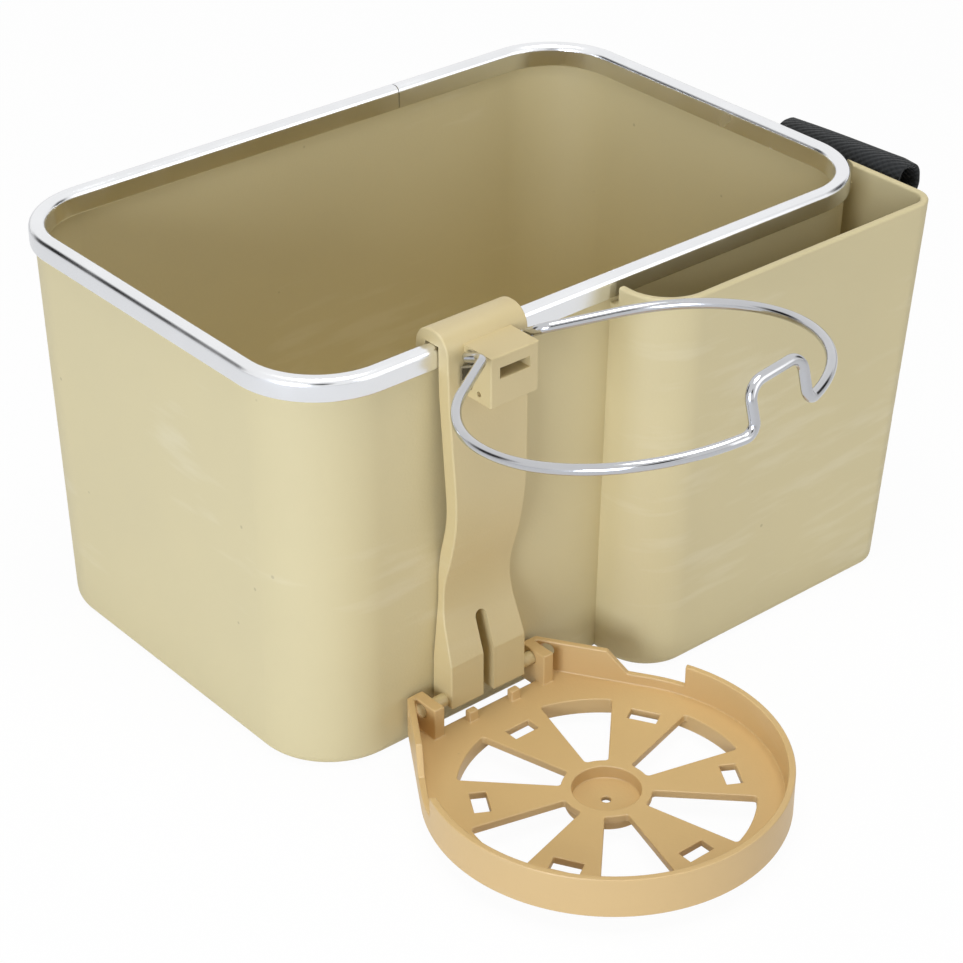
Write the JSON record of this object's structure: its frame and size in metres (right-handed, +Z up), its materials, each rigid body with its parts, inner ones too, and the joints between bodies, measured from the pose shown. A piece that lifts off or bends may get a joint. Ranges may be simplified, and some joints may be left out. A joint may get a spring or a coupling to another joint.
{
  "type": "car organizer",
  "caption": "Tapered moulded bin with a side pocket, bright rim trim, webbing loop and a clip-on drink holder with a swinging wire ring and folding spoked tray.",
  "frame": {"origin": "middle of the bin's flat base, on the surface it stands on", "axes": "+Z up, X along the bin's long side with the pocket to +X, the drink holder at the front, -Y"},
  "size_m": [0.1789, 0.1967, 0.1237],
  "materials": {
    "bin_plastic": "fine matt moulding",
    "bright_trim": "bright plated edge moulding",
    "webbing": "black woven webbing",
    "holder_plastic": "satin moulding",
    "spring_steel": "bright strip",
    "plated_wire": "bright plated round wire"
  },
  "bodies": {
    "organizer": {"bin": "bin_plastic", "rim_trim": "bright_trim", "strap": "webbing", "holder_arm": "holder_plastic", "detent_spring": "spring_steel"},
    "ring": {"cup_ring": "plated_wire"},
    "tray": {"cup_tray": "holder_plastic"}
  },
  "joints": [
    {"name": "ring_swing", "type": "hinge", "parent": "organizer", "child": "ring", "pos_m": [-0.0388, -0.06155, 0.0963], "axis": [1, 0, 0], "range_deg": [-75, 0]},
    {"name": "tray_fold", "type": "hinge", "parent": "organizer", "child": "tray", "pos_m": [-0.0388, -0.05766, 0.0113], "axis": [1, 0, 0], "range_deg": [-70, 0]}
  ]
}
